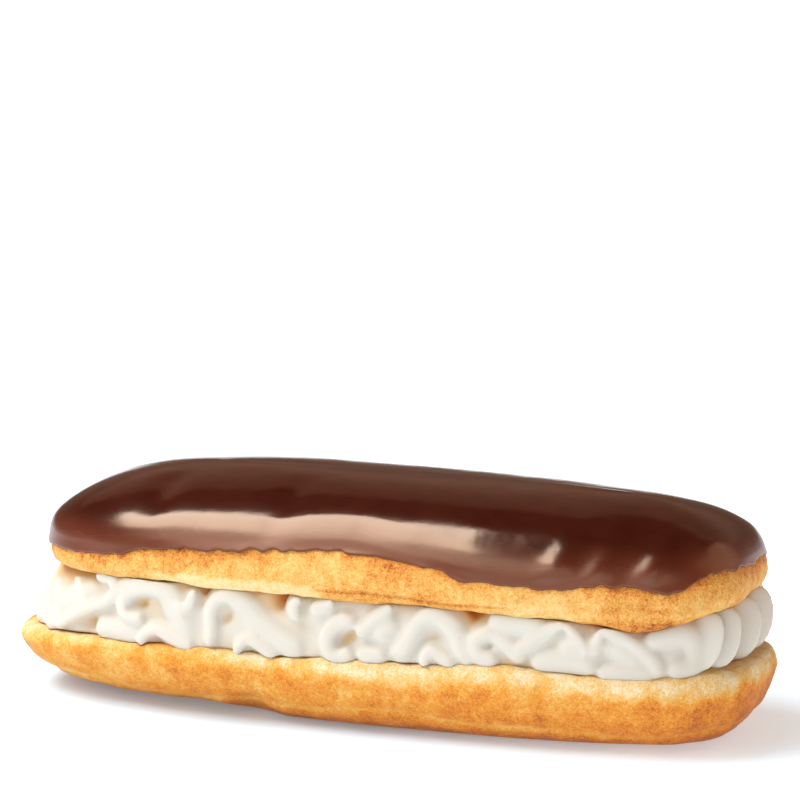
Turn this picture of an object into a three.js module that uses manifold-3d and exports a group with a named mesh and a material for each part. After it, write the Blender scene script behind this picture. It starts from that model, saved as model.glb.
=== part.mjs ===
// A chocolate eclair: a long choux bun cut through its middle, piped with whipped cream and dipped in
// chocolate. Millimetres; +X runs along the bun, -Y is its front, +Z is up, and it stands on z = 0.

import * as THREE from "three";
import { ParametricGeometry } from "three/addons/geometries/ParametricGeometry.js";
import { mergeVertices } from "three/addons/utils/BufferGeometryUtils.js";
import Module from "manifold-3d";

const wasm = await Module();
wasm.setup();

// Driving dimensions of the bun.
const LENGTH = 150; // the base, end to end
const WIDTH = 53; // the base, front to back
const HEIGHT = 46.5; // the floor to the top of the icing
const CUT_HEIGHT = 15; // the floor to the base's cut edge, on average
const LID_HEIGHT = 26; // the floor to the lid's cut edge
const LID_LENGTH = 141; // the lid has shrunk a little in the oven
const LID_SHIFT = 2.2; // and sits nearer to the right end
const ICING = 1.3; // the chocolate's thickness on top
const ICING_EDGE = 0.6; // and at its lower edge
const GAP = 0.3; // air between two pieces that touch

// Driving dimensions of the piping.
const ROPE = 3.9; // radius of one piped strand, out to its ridges
const RIDGES = 5; // teeth of the star nozzle
const GROOVE = 0.16; // depth of the groove between two ridges, as a share of the radius
const RISE = 2.2; // how far the rope swings above and below its middle
const LEAN = 0.75; // how far each wave leans over, from 0 to 1
const LAG = 0.9; // where in its wave the rope leans most, in radians
const CREAM_EDGE = 0.7; // the cream's outermost point, inside the base's edge

// The plan of the bun is a squircle: square at the rim, and round at its spine.
const SQUARENESS = 3.6;
const HALF_LENGTH = LENGTH / 2;
const HALF_WIDTH = WIDTH / 2;
const SPREAD = Math.sqrt(LENGTH / WIDTH); // spreads the corners of the mesh evenly round the plan

// Places round an edge are millimetres from the middle of the front, with the right end at about 85 and
// the left end at about -85. Each list gives the height of an edge at the places where it turns.
const BASE_EDGE = [
  [-85, 13.0],
  [-51, 13.7],
  [-18, 14.2],
  [12, 15.2],
  [31, 16.3],
  [60, 15.4],
  [76, 16.6],
  [110, 15.8],
  [150, 14.8],
  [220, 14.2],
];
const LID_EDGE = [
  [-85, 25.6],
  [-40, 26.2],
  [24, 26.5],
  [44, 25.9],
  [60, 25.0],
  [76, 27.6],
  [92, 28.0],
  [125, 26.4],
  [170, 25.8],
  [215, 26.4],
];
const ICING_LINE = [
  [-85, 29.3],
  [-62, 30.4],
  [-34, 33.6],
  [-2, 35.6],
  [12, 34.3],
  [28, 32.2],
  [40, 32.0],
  [54, 32.9],
  [65, 31.9],
  [75, 34.9],
  [92, 34.0],
  [120, 32.2],
  [145, 33.8],
  [172, 32.4],
  [200, 33.6],
  [228, 31.6],
];

// Crests of the piped wave: those on the front and the right end, then an even row round the back.
const SHOWN_CRESTS = [-76, -62, -44, -27, -3, 14, 28, 43, 55, 67, 77, 87, 97, 107];
const HIDDEN_CRESTS = 9;

const { clamp, lerp, smoothstep } = THREE.MathUtils;

// A smooth bump of height 1 at its middle, which fades to nothing over a few widths.
const bump = (place, middle, width) => Math.exp(-(((place - middle) / width) ** 2));

// Writes into target the plan's point at angle t, a given distance inside an edge of that half length. The
// outline has turned round by the inset named in roundBy.
function plan(t, inset, halfLength, centre, roundBy, target) {
  const squareness = lerp(SQUARENESS, 2, clamp(inset / roundBy, 0, 1));
  const c = Math.cos(t);
  const s = SPREAD * Math.sin(t);
  const reach = (Math.abs(c) ** squareness + Math.abs(s) ** squareness) ** (1 / squareness);
  return target.set(centre + ((halfLength - inset) * c) / reach, ((HALF_WIDTH - inset) * s) / reach, 0);
}

// The plan's outline at one inset, run anticlockwise from the middle of the front.
class Edge extends THREE.Curve {
  constructor(halfLength, centre, inset) {
    super();
    Object.assign(this, { halfLength, centre, inset });
  }

  getPoint(share, target = new THREE.Vector3()) {
    const t = 2 * Math.PI * share - Math.PI / 2;
    return plan(t, this.inset, this.halfLength, this.centre, HALF_WIDTH, target);
  }
}

const baseEdge = new Edge(HALF_LENGTH, 0, 0);
const GIRTH = baseEdge.getLength();

// Millimetres round the base's edge, from the middle of the front, at each angle of the plan.
const EDGE_STEPS = baseEdge.getLengths();
function placeAt(t) {
  const share = (t / (2 * Math.PI) + 0.25 + 1) % 1;
  const step = share * (EDGE_STEPS.length - 1);
  const i = Math.min(Math.floor(step), EDGE_STEPS.length - 2);
  return lerp(EDGE_STEPS[i], EDGE_STEPS[i + 1], step - i);
}

// The height of an edge at a place round it, eased from each turning point to the next.
function heightAt(edge, place) {
  const first = edge[0][0];
  const p = first + ((((place - first) % GIRTH) + GIRTH) % GIRTH);
  const next = edge.findIndex(([at]) => at > p);
  const [from, low] = edge[(next < 0 ? edge.length : next) - 1];
  const [to, high] = next < 0 ? [first + GIRTH, edge[0][1]] : edge[next];
  return lerp(low, high, smoothstep(p, from, to));
}

// The same height further in: at the spine it is the mean of the front's and the back's, which meet there.
function heightInside(edge, place, inset) {
  const here = heightAt(edge, place);
  const across = heightAt(edge, GIRTH / 2 - place);
  return lerp(here, (here + across) / 2, clamp(inset / HALF_WIDTH, 0, 1));
}

// The points of a profile: each curve of insets and heights with its number of steps.
function profile(...pieces) {
  const points = pieces.flatMap(([curve, steps], i) => curve.getPoints(steps).slice(i ? 1 : 0));
  return points;
}
const line = (...p) => new THREE.LineCurve(new THREE.Vector2(p[0], p[1]), new THREE.Vector2(p[2], p[3]));
const bend = (...p) =>
  new THREE.CubicBezierCurve(
    new THREE.Vector2(p[0], p[1]),
    new THREE.Vector2(p[2], p[3]),
    new THREE.Vector2(p[4], p[5]),
    new THREE.Vector2(p[6], p[7]),
  );

// A closed skin with its shared corners merged and its empty triangles left out.
function skin(place, around, rings) {
  const open = new ParametricGeometry((u, v, target) => place(2 * Math.PI * u, v, target), around, rings);
  open.deleteAttribute("normal");
  open.deleteAttribute("uv");
  const merged = mergeVertices(open, 1e-3);
  const kept = [];
  for (let i = 0; i < merged.index.count; i += 3) {
    const [a, b, c] = merged.index.array.slice(i, i + 3);
    if (a !== b && b !== c && c !== a) kept.push(a, b, c);
  }
  return merged.setIndex(kept);
}

// The skin of a body whose profile is carried round the plan, with each point then moved by shape.
function bunSkin(points, around, outline, shape) {
  const last = points.length - 1;
  return skin(
    (t, v, target) => {
      const { x: inset, y: height } = points[Math.round(v * last)];
      outline(t, inset, target);
      target.z = shape(height, placeAt(t), inset, target);
    },
    around,
    last,
  );
}

function solid(geometry) {
  return new wasm.Manifold(
    new wasm.Mesh({
      numProp: 3,
      vertProperties: new Float32Array(geometry.attributes.position.array),
      triVerts: new Uint32Array(geometry.index.array),
    }),
  );
}

function geometryOf(manifold) {
  const { vertProperties, triVerts } = manifold.getMesh();
  return new THREE.BufferGeometry()
    .setAttribute("position", new THREE.BufferAttribute(vertProperties, 3))
    .setIndex(new THREE.BufferAttribute(triVerts, 1));
}

// The lower half: flat underneath, with full sides and a cut face that dips a little to its middle.
const FOOT_INSET = 12; // from the side in to the flat underside
const FOOT_ROUND = 13; // inset by which the base's plan has turned from square to round
const WIDEST = 11.5; // height where the base is widest
const CUT_ROUND = 2.2; // rounding of the cut edge
const CUT_DIP = 0.7; // depth of the dip in the cut face
const HEEL = 1.3; // how far the left part stands off the floor
const HEEL_FROM = -16; // where along the bun it starts to lift
const HEEL_TO = -34;
const PUCKER = [-21, 3.4, 2.4]; // a fold in the front of the underside: place, width and height

function chouxBase() {
  const points = profile(
    [line(HALF_WIDTH, 0, FOOT_INSET, 0), 2],
    [bend(FOOT_INSET, 0, FOOT_INSET / 2, 0, FOOT_INSET * 0.11, WIDEST * 0.43, 0, WIDEST), 6],
    [bend(0, WIDEST, 0, CUT_HEIGHT * 0.88, CUT_ROUND * 0.3, CUT_HEIGHT, CUT_ROUND, CUT_HEIGHT), 4],
    [line(CUT_ROUND, CUT_HEIGHT, HALF_WIDTH, CUT_HEIGHT - CUT_DIP), 3],
  );
  const outline = (t, inset, target) => plan(t, inset, HALF_LENGTH, 0, FOOT_ROUND, target);
  return bunSkin(points, 60, outline, (height, place, inset, { x, y }) => {
    const up = clamp(height / CUT_HEIGHT, 0, 1);
    const [middle, width, fold] = PUCKER;
    const front = smoothstep(-y, HALF_WIDTH * 0.5, HALF_WIDTH * 0.8);
    const lift = HEEL * smoothstep(-x, -HEEL_FROM, -HEEL_TO) + fold * bump(x, middle, width) * front;
    return height + up * (heightInside(BASE_EDGE, place, inset) - CUT_HEIGHT) + (1 - up) * lift;
  });
}

// The upper half: a low dome on a rolled edge, flat underneath where it lies on the cream.
const LID_ROUND = 2.4; // rounding of the lid's cut edge
const LID_WIDEST = 29; // height where the lid is widest
const LID_TOP = HEIGHT - ICING - GAP; // top of the choux, under the icing
const LID_DIP = 0.8; // how far the underside rises to its middle
const CROWN_PLACE = 8; // the highest point along the bun
const CROWN_FALL = 1.2; // how far the top falls to either end
const LEFT_SLOPE = 0.15; // how much more gently the left end slopes than the rest
const domeCurve = bend(0, LID_WIDEST, 0.3, LID_TOP - 6.8, HALF_WIDTH * 0.42, LID_TOP, HALF_WIDTH, LID_TOP);

// The lid's plan: its middle line lies nearer to the right end, so that the left end slopes more.
function lidPlan(t, inset, target) {
  const drift = LEFT_SLOPE * Math.max(inset, 0);
  return plan(t, inset, LID_LENGTH / 2 - drift, LID_SHIFT + drift, HALF_WIDTH, target);
}

// How much of a height belongs to the lid's edge, and how much to its crown.
function lidHeight(height, place, inset, x) {
  const crown = clamp((height - LID_WIDEST) / (LID_TOP - LID_WIDEST), 0, 1);
  const fall = CROWN_FALL * ((x - CROWN_PLACE) / (LID_LENGTH / 2 - 12)) ** 2;
  const edge = heightInside(LID_EDGE, place, inset) - LID_HEIGHT;
  return height + (1 - crown) * edge - crown ** 2 * fall;
}

function chouxLid() {
  const points = profile(
    [line(HALF_WIDTH, LID_HEIGHT + LID_DIP, LID_ROUND, LID_HEIGHT), 3],
    [bend(LID_ROUND, LID_HEIGHT, LID_ROUND * 0.3, LID_HEIGHT, 0, LID_WIDEST - 1.5, 0, LID_WIDEST), 3],
    [domeCurve, 9],
  );
  return bunSkin(points, 60, lidPlan, (height, place, inset, { x }) => lidHeight(height, place, inset, x));
}

// The coat of chocolate: the lid's dome again, carried outwards, from its wavy lower edge to the top.
const ICING_AROUND = 76;
const ICING_RINGS = 8; // rings on each face
const ICING_FULL = 0.3; // share of the way up where the coat has its full thickness

// Where on the dome's curve the icing's lower edge lies, found by halving.
function domeShare(height, place, x) {
  let low = 0;
  let high = 1;
  for (let i = 0; i < 30; i++) {
    const middle = (low + high) / 2;
    const point = domeCurve.getPoint(middle);
    if (lidHeight(point.y, place, point.x, x) < height) low = middle;
    else high = middle;
  }
  return low;
}

function icingCoat() {
  return skin(
    (t, v, target) => {
      const place = placeAt(t);
      const row = Math.round(v * (2 * ICING_RINGS + 1));
      const inside = row <= ICING_RINGS;
      const ring = (inside ? ICING_RINGS - row : row - ICING_RINGS - 1) / ICING_RINGS;
      lidPlan(t, 0, target);
      const start = domeShare(heightAt(ICING_LINE, place), place, target.x);
      const share = lerp(start, 1, ring);
      const { x: inset, y: height } = domeCurve.getPoint(share);
      const along = domeCurve.getTangent(share);
      const coat = lerp(ICING_EDGE, ICING, smoothstep(ring, 0, ICING_FULL));
      const off = inside ? GAP : GAP + coat;
      const under = inside ? 0 : (1 - smoothstep(ring, 0, 0.1)) * ICING_EDGE * 0.4;
      lidPlan(t, Math.min(inset - along.y * off, HALF_WIDTH), target);
      target.z = lidHeight(height, place, inset, target.x) + along.x * off + under;
    },
    ICING_AROUND,
    2 * ICING_RINGS + 1,
  );
}

// The filling: a slab between the two cut faces, edged with a rope of piped cream that rises and falls.
const ROPE_MIDDLE = (CUT_HEIGHT + LID_HEIGHT) / 2;
const CREAM_LENGTH = 148.5; // out to the ridges, end to end
const CREAM_SHIFT = 1.9; // the piping runs further out at the right end
const ropeEdge = new Edge(CREAM_LENGTH / 2, CREAM_SHIFT, CREAM_EDGE + ROPE);
const ROPE_GIRTH = ropeEdge.getLength();
const SLAB_INSET = 5.5; // from the base's edge in to the slab
const SLAB_LAP = 1; // how far the slab runs into both halves before it is cut to fit
const SWAY = 0.7; // how far the rope swings in and out
const STRAND_LAP = 0.1; // how far a strand runs past the crest and the trough at its ends, in waves
const STRAND_SIDES = 10;
const STRAND_STEPS = 6;

const lastCrest = SHOWN_CRESTS.at(-1);
const crestStep = (SHOWN_CRESTS[0] + ROPE_GIRTH - lastCrest) / (HIDDEN_CRESTS + 1);
const CRESTS = [
  ...SHOWN_CRESTS,
  ...Array.from({ length: HIDDEN_CRESTS }, (_, i) => lastCrest + (i + 1) * crestStep),
];
function crestAt(i) {
  const round = Math.floor(i / CRESTS.length);
  return CRESTS[i - round * CRESTS.length] + round * ROPE_GIRTH;
}

// The middle of the rope, w waves on from the first crest.
function ropePoint(w) {
  const i = Math.floor(w);
  const turn = 2 * Math.PI * (w - i);
  const wave = crestAt(i + 1) - crestAt(i);
  const lean = (LEAN * (Math.sin(turn + LAG) - Math.sin(LAG))) / (2 * Math.PI);
  const along = crestAt(i) + wave * (w - i - lean);
  const share = (((along / ROPE_GIRTH) % 1) + 1) % 1;
  const outward = ropeEdge.getTangentAt(share).cross(new THREE.Vector3(0, 0, 1));
  const point = ropeEdge.getPointAt(share).addScaledVector(outward, -SWAY * (1 - Math.cos(turn)) * 0.5);
  return point.setZ(ROPE_MIDDLE + RISE * Math.cos(turn));
}

// One strand, from a crest to the next trough or back: ridged like the nozzle, with rounded ends.
function strand(from, to) {
  const waypoints = Array.from({ length: 7 }, (_, i) => ropePoint(lerp(from, to, i / 6)));
  const path = new THREE.CatmullRomCurve3(waypoints);
  const { normals, binormals } = path.computeFrenetFrames(STRAND_STEPS);
  return skin(
    (angle, v, target) => {
      const step = Math.round(v * STRAND_STEPS);
      const ends = Math.sqrt(Math.max(0, 1 - Math.abs(2 * v - 1) ** 3));
      const radius = ROPE * ends * (1 - GROOVE * (0.5 - 0.5 * Math.cos(RIDGES * angle)));
      path.getPointAt(v, target);
      target.addScaledVector(normals[step], radius * Math.cos(angle));
      target.addScaledVector(binormals[step], radius * Math.sin(angle));
    },
    STRAND_SIDES,
    STRAND_STEPS,
  );
}

function creamSlab() {
  const foot = CUT_HEIGHT - CUT_DIP - SLAB_LAP;
  const top = LID_HEIGHT + LID_DIP + SLAB_LAP;
  const points = profile(
    [line(HALF_WIDTH, foot, SLAB_INSET, foot), 1],
    [line(SLAB_INSET, foot, SLAB_INSET, top), 1],
    [line(SLAB_INSET, top, HALF_WIDTH, top), 1],
  );
  const outline = (t, inset, target) => plan(t, inset, CREAM_LENGTH / 2, CREAM_SHIFT, HALF_WIDTH, target);
  return bunSkin(points, 48, outline, (height) => height);
}

// The slab and strands as one body, cut clear of the two halves of the bun, without loose scraps.
function creamFilling(base, lid) {
  let cream = solid(creamSlab());
  for (let half = 0; half < 2 * CRESTS.length; half++) {
    cream = cream.add(solid(strand(half / 2 - STRAND_LAP, half / 2 + 0.5 + STRAND_LAP)));
  }
  cream = cream.subtract(solid(base.clone().translate(0, 0, GAP)));
  cream = cream.subtract(solid(lid.clone().translate(0, 0, -GAP)));
  const [largest] = cream.decompose().sort((a, b) => b.volume() - a.volume());
  return geometryOf(largest);
}

function piece(name, geometry, color, roughness) {
  const mesh = new THREE.Mesh(geometry, new THREE.MeshStandardMaterial({ color, roughness, metalness: 0 }));
  mesh.name = name;
  mesh.geometry.computeVertexNormals();
  return mesh;
}

const base = chouxBase();
const lid = chouxLid();
const eclair = new THREE.Group();
eclair.name = "eclair";
eclair.add(
  piece("choux_base", base, 0xe9a646, 0.75),
  piece("cream_filling", creamFilling(base, lid), 0xf4efe2, 0.5),
  piece("choux_lid", lid, 0xe6ab55, 0.75),
  piece("chocolate_icing", icingCoat(), 0x4a1a12, 0.3),
);

export default eclair;
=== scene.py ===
"""The looks of a filled chocolate eclair.

It has two halves of a choux bun, a piped rope of cream and a coat of chocolate. Shapes are worked out in
millimetres and put into the meshes in metres, in the frame's own axes.
"""

import math

import bmesh
import bpy
import numpy as np
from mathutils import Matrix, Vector


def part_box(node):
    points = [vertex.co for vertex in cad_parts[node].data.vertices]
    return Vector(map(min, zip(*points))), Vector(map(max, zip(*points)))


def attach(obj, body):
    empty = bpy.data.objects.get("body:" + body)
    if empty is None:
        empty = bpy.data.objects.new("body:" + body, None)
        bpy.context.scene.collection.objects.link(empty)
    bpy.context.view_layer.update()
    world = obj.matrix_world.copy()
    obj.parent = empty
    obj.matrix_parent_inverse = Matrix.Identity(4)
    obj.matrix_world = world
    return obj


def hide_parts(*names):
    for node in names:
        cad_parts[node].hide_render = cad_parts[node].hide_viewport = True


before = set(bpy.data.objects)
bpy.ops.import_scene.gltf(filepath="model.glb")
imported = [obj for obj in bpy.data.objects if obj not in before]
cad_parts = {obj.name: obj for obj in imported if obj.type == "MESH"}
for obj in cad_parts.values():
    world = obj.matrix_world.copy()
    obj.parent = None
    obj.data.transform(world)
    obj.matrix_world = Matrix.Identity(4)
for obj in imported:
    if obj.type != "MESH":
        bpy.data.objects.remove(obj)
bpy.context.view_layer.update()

MM = 0.001
TURN = 2 * math.pi


def node_size(node):
    """A CAD node's length, width and height, in millimetres."""
    low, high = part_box(node)
    return tuple((high - low) / MM)


# Driving dimensions of the bun, in millimetres.
LENGTH, WIDTH, _ = node_size("choux_base")
LID_LENGTH, _, _ = node_size("choux_lid")
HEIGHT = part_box("chocolate_icing")[1].z / MM
CUT_HEIGHT = 15
LID_HEIGHT = 26
LID_SHIFT = 2.2
ICING = 1.3
GAP = 0.3
HALF_LENGTH = LENGTH / 2
HALF_WIDTH = WIDTH / 2

# The plan is a squircle, square at the rim and round at its spine.
SQUARENESS = 3.6
SPREAD = math.sqrt(LENGTH / WIDTH)

# Every grid that goes round the bun has these angles of the plan.
AROUND = 800
ROUND_T = np.arange(AROUND) / AROUND * TURN
OUTLINE_POINTS = 1441
SPINE_FADE = 3  # width of the strip beside the spine where relief fades out

# Smooth noise: how many values it draws, and the factors that pick one for a corner.
NOISE_VALUES = 4096
CORNER_MIX = (73856093, 19349663, 83492791)

# Heights of the edges, at places round the bun in millimetres from the middle of the front.
BASE_EDGE = [
    (-85, 13.0), (-51, 13.7), (-18, 14.2), (12, 15.2), (31, 16.3),
    (60, 15.4), (76, 16.6), (110, 15.8), (150, 14.8), (220, 14.2),
]
LID_EDGE = [
    (-85, 25.6), (-40, 26.2), (24, 26.5), (44, 25.9), (60, 24.3),
    (76, 27.6), (92, 28.0), (125, 26.4), (170, 25.8), (215, 26.4),
]
ICING_LINE = [
    (-85, 29.3), (-62, 30.4), (-34, 33.6), (-2, 35.6), (12, 34.3), (28, 32.2), (40, 32.0), (54, 32.9),
    (65, 31.9), (75, 34.9), (92, 34.0), (120, 32.2), (145, 33.8), (172, 32.4), (200, 33.6), (228, 31.6),
]


# Shared sums

def ease(share):
    """Smooth step: 3s^2 - 2s^3 of a share held between 0 and 1."""
    s = np.clip(share, 0, 1)
    return s * s * (3 - 2 * s)


def ramp(value, start, end):
    """Smooth step of a value from 0 at start to 1 at end."""
    return ease((value - start) / (end - start))


def bump(value, middle, width):
    """Bell of height 1: exp of minus the squared distance from the middle, in widths."""
    return np.exp(-(((value - middle) / width) ** 2))


def lumps(x, y, z, cell, seed):
    """Smooth noise from -1 to 1: seeded values on the corners of cubes of one cell, eased from each
    corner to the next."""
    values = np.random.default_rng(seed).uniform(-1, 1, NOISE_VALUES)
    mix_i, mix_j, mix_k = CORNER_MIX
    spot = np.stack(np.broadcast_arrays(x, y, z), axis=-1) / cell
    corner = np.floor(spot).astype(np.int64)
    share = ease(spot - corner)
    total = np.zeros(spot.shape[:-1])
    for step in np.ndindex(2, 2, 2):
        weight = np.where(np.array(step) == 1, share, 1 - share).prod(axis=-1)
        i, j, k = np.moveaxis(corner + np.array(step), -1, 0)
        total += weight * values[(i * mix_i ^ j * mix_j ^ k * mix_k) % NOISE_VALUES]
    return total


def all_lumps(x, y, z, sizes):
    """Lumps of several sizes added up: height times noise for each row of height, cell and seed."""
    return sum(height * lumps(x, y, z, cell, seed) for height, cell, seed in sizes)


def plan(t, inset, half_length, centre, round_by):
    """Squircle |x/a|^n + |y/b|^n = 1 at angle t, where a and b are the half sizes less the inset, and n
    falls from SQUARENESS at the rim to 2 at the inset named in round_by."""
    n = SQUARENESS + (2 - SQUARENESS) * np.clip(inset / round_by, 0, 1)
    c = np.cos(t)
    s = SPREAD * np.sin(t)
    reach = (np.abs(c) ** n + np.abs(s) ** n) ** (1 / n)
    return centre + (half_length - inset) * c / reach, (HALF_WIDTH - inset) * s / reach


def edge_table(half_length, centre, inset):
    """Angles from the middle of the front right round, and the length of the outline up to each."""
    t = np.linspace(-TURN / 4, TURN * 0.75, OUTLINE_POINTS)
    x, y = plan(t, inset, half_length, centre, HALF_WIDTH)
    steps = np.hypot(np.diff(x), np.diff(y))
    return t, np.concatenate([[0], np.cumsum(steps)])


EDGE_T, EDGE_LENGTH = edge_table(HALF_LENGTH, 0, 0)
GIRTH = EDGE_LENGTH[-1]


def place_at(t):
    """Millimetres round the base's edge, from the middle of the front, at an angle of the plan."""
    return np.interp((t + TURN / 4) % TURN - TURN / 4, EDGE_T, EDGE_LENGTH)


def height_at(edge, place):
    """Height of an edge at a place, eased from each turning point to the next, right round."""
    at, height = np.array(edge, float).T
    at = np.append(at, at[0] + GIRTH)
    height = np.append(height, height[0])
    spot = at[0] + (place - at[0]) % GIRTH
    i = np.clip(np.searchsorted(at, spot, side="right") - 1, 0, len(at) - 2)
    return height[i] + (height[i + 1] - height[i]) * ramp(spot, at[i], at[i + 1])


def height_inside(edge, place, inset):
    """The same further in: at the spine it is the mean of the front's and the back's."""
    here = height_at(edge, place)
    across = height_at(edge, GIRTH / 2 - place)
    return here + (across - here) / 2 * np.clip(inset / HALF_WIDTH, 0, 1)


def cubic(p, s):
    """Cubic Bezier of four points at shares s: the points by (1-s)^3, 3(1-s)^2 s, 3(1-s) s^2 and s^3."""
    return (1 - s) ** 3 * p[0] + 3 * (1 - s) ** 2 * s * p[1] + 3 * (1 - s) * s**2 * p[2] + s**3 * p[3]


def bend(points, steps):
    """A straight line for two points or a cubic Bezier for four, as rows of inset and height."""
    p = np.array(points, float)
    s = np.linspace(0, 1, steps + 1)[:, None]
    if len(p) == 2:
        return p[0] + (p[1] - p[0]) * s
    return cubic(p, s)


def profile(*pieces):
    """Bends laid end to end, without the points that they share."""
    rows = [bend(*piece) for piece in pieces]
    return np.concatenate([rows[0]] + [r[1:] for r in rows[1:]])


def carried(points, outline, lift, relief):
    """A profile carried round an outline: each row is the outline at that inset, lifted to its height,
    then moved along the profile's own normal by the relief, which fades out at the spine."""
    t = ROUND_T[None, :]
    place = place_at(t)
    inset, height = points[:, :1], points[:, 1:]
    slope = np.gradient(points, axis=0)
    slope /= np.linalg.norm(slope, axis=1, keepdims=True)
    x, y = outline(t, inset)
    z = lift(height, place, inset, x, y)
    depth = relief(x, y, z) * ramp(HALF_WIDTH - inset, 0, SPINE_FADE)
    x, y = outline(t, inset - depth * slope[:, 1:])
    z = z + depth * slope[:, :1]
    return np.stack(np.broadcast_arrays(x, y, z), axis=-1)


# Meshes

MERGE = 0.002  # points closer together than this are one


def skin_quads(rows, cols):
    """Corner numbers of the quads of a grid that closes on itself from column to column, facing
    outwards."""
    index = np.arange(rows * cols).reshape(rows, cols)
    right = np.roll(index, -1, axis=1)
    quads = np.stack([index[:-1], right[:-1], right[1:], index[1:]], axis=-1)
    return quads.reshape(-1, 4)


def make_piece(name, points, faces, marks=None):
    """A mesh object from points in millimetres, with its doubled points merged and its marks kept as
    attributes of its points."""
    mesh = bpy.data.meshes.new(name)
    mesh.from_pydata((points * MM).tolist(), [], faces.tolist())
    for key, values in (marks or {}).items():
        layer = mesh.attributes.new(key, "FLOAT", "POINT")
        layer.data.foreach_set("value", np.asarray(values, np.float32).ravel())
    merged = bmesh.new()
    merged.from_mesh(mesh)
    bmesh.ops.remove_doubles(merged, verts=merged.verts, dist=MERGE * MM)
    merged.to_mesh(mesh)
    merged.free()
    mesh.shade_smooth()
    piece = bpy.data.objects.new(name, mesh)
    bpy.context.scene.collection.objects.link(piece)
    return piece


def dress(piece, node, material):
    """The piece stands for a CAD node, rides on the one body and takes that slot's finish."""
    piece.data.materials.clear()
    piece.data.materials.append(material)
    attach(piece, "root")
    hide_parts(node)
    return piece


# The lower half of the bun

FOOT_INSET = 12
FOOT_ROUND = 13
WIDEST = 11.5
CUT_ROUND = 2.2
CUT_DIP = 0.7
HEEL = 1.3
HEEL_FROM, HEEL_TO = -16, -34
PUCKER_PLACE, PUCKER_WIDTH, PUCKER_HEIGHT = -21, 3.4, 2.4
FOLD_HEIGHT, FOLD_WIDTH, FOLD_DEPTH = 4.3, 0.7, 0.3
BASE_LUMPS = [(0.4, 15, 1), (0.2, 6, 2), (0.1, 2.4, 3), (0.07, 1.3, 5)]  # height, size and seed
CRUMB_FROM, CRUMB_TO = CUT_HEIGHT - 5, CUT_HEIGHT - 2  # heights over which the crumb sets in
CRUMB_SIZE, CRUMB_DEPTH, CRUMB_SHARE = 1.7, 0.35, 0.15  # noise above this share is a pit
FOOT_SMOOTH = 2.5  # the lumps set in over this height

CUT_FACE = [[CUT_ROUND, CUT_HEIGHT], [HALF_WIDTH, CUT_HEIGHT - CUT_DIP]]
CUT_EDGE = [
    [0, WIDEST],
    [0, CUT_HEIGHT * 0.88],
    [CUT_ROUND * 0.3, CUT_HEIGHT],
    [CUT_ROUND, CUT_HEIGHT],
]


def base_outline(t, inset):
    """The base's squircle, which turns round well before its foot."""
    return plan(t, inset, HALF_LENGTH, 0, FOOT_ROUND)


def base_lift(height, place, inset, x, y):
    """Height plus the cut edge's own rise, which fades downwards, and the lift of the left part's
    underside and of the pucker in its front, which fade upwards."""
    up = np.clip(height / CUT_HEIGHT, 0, 1)
    front = ramp(-y, HALF_WIDTH * 0.5, HALF_WIDTH * 0.8)
    lift = HEEL * ramp(-x, -HEEL_FROM, -HEEL_TO)
    lift = lift + PUCKER_HEIGHT * bump(x, PUCKER_PLACE, PUCKER_WIDTH) * front
    return height + up * (height_inside(BASE_EDGE, place, inset) - CUT_HEIGHT) + (1 - up) * lift


def fold_line(x, z):
    """Closeness to the soft fold low on the sides: a bell in height about a gently wandering line."""
    line = FOLD_HEIGHT + 0.7 * np.sin(x / 13 + 1) + 0.4 * np.sin(x / 5)
    return bump(z, line, FOLD_WIDTH)


def base_relief(x, y, z):
    """Lumps of four sizes, a groove along the low fold, and pits in the crumb near the cut edge."""
    crumb = ramp(z, CRUMB_FROM, CRUMB_TO)
    depth = all_lumps(x, y, z, BASE_LUMPS)
    depth = depth - FOLD_DEPTH * fold_line(x, z) * (1 - crumb)
    holes = np.clip(lumps(x, y, z, CRUMB_SIZE, 4) - CRUMB_SHARE, 0, 1)
    return depth * ramp(z, 0, FOOT_SMOOTH) - CRUMB_DEPTH * holes * crumb


def base_bake_and_shade(grid, edge):
    """How brown the crust is painted, from 0 for pale crumb to 1: a sum of steps that is paler towards the
    cut edge and along the fold, browner at the right end, and darker low down, partly the crust's colour and
    partly painted shade near the floor, with patches of noise."""
    x, y, z = np.moveaxis(grid, -1, 0)
    below = edge - z + 1.6 * lumps(x, y, z, 8, 11) + 1.1 * lumps(x, y, z / 2, 2.5, 12)
    pale_width = 0.3 + 2.3 * ramp(x, -45, 10)
    bake_and_shade = 0.19 + 0.42 * ramp(below, pale_width - 1.4, pale_width + 2.4)
    bake_and_shade = bake_and_shade + 0.16 * ramp(below, 6, 12)
    bake_and_shade = bake_and_shade + 0.22 * ramp(x, 52, 76) * ramp(below, 0, 6)
    # darker low down: partly the crust's colour, partly painted shade near the floor
    bake_and_shade = bake_and_shade + 0.2 * ramp(-z, -3.5, -0.5)
    bake_and_shade = bake_and_shade - 0.2 * fold_line(x, z) * ramp(below, 4, 7)
    bake_and_shade = bake_and_shade + 0.12 * lumps(x, y, z * 0.35, 3.5, 13)
    return np.clip(bake_and_shade, 0, 1)


def make_base(material):
    """The base's profile, from the spine underneath round the side to the spine of the cut face,
    carried round its outline."""
    points = profile(
        ([[HALF_WIDTH, 0], [FOOT_INSET, 0]], 8),
        ([[FOOT_INSET, 0], [FOOT_INSET / 2, 0], [FOOT_INSET * 0.11, WIDEST * 0.43], [0, WIDEST]], 44),
        (CUT_EDGE, 18),
        (CUT_FACE, 22),
    )
    grid = carried(points, base_outline, base_lift, base_relief)
    edge = height_at(BASE_EDGE, place_at(ROUND_T))[None, :]
    faces = skin_quads(*grid.shape[:2])
    piece = make_piece("base_crust", grid.reshape(-1, 3), faces, {"bake_and_shade": base_bake_and_shade(grid, edge)})
    return dress(piece, "choux_base", material)


# The upper half of the bun

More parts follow.
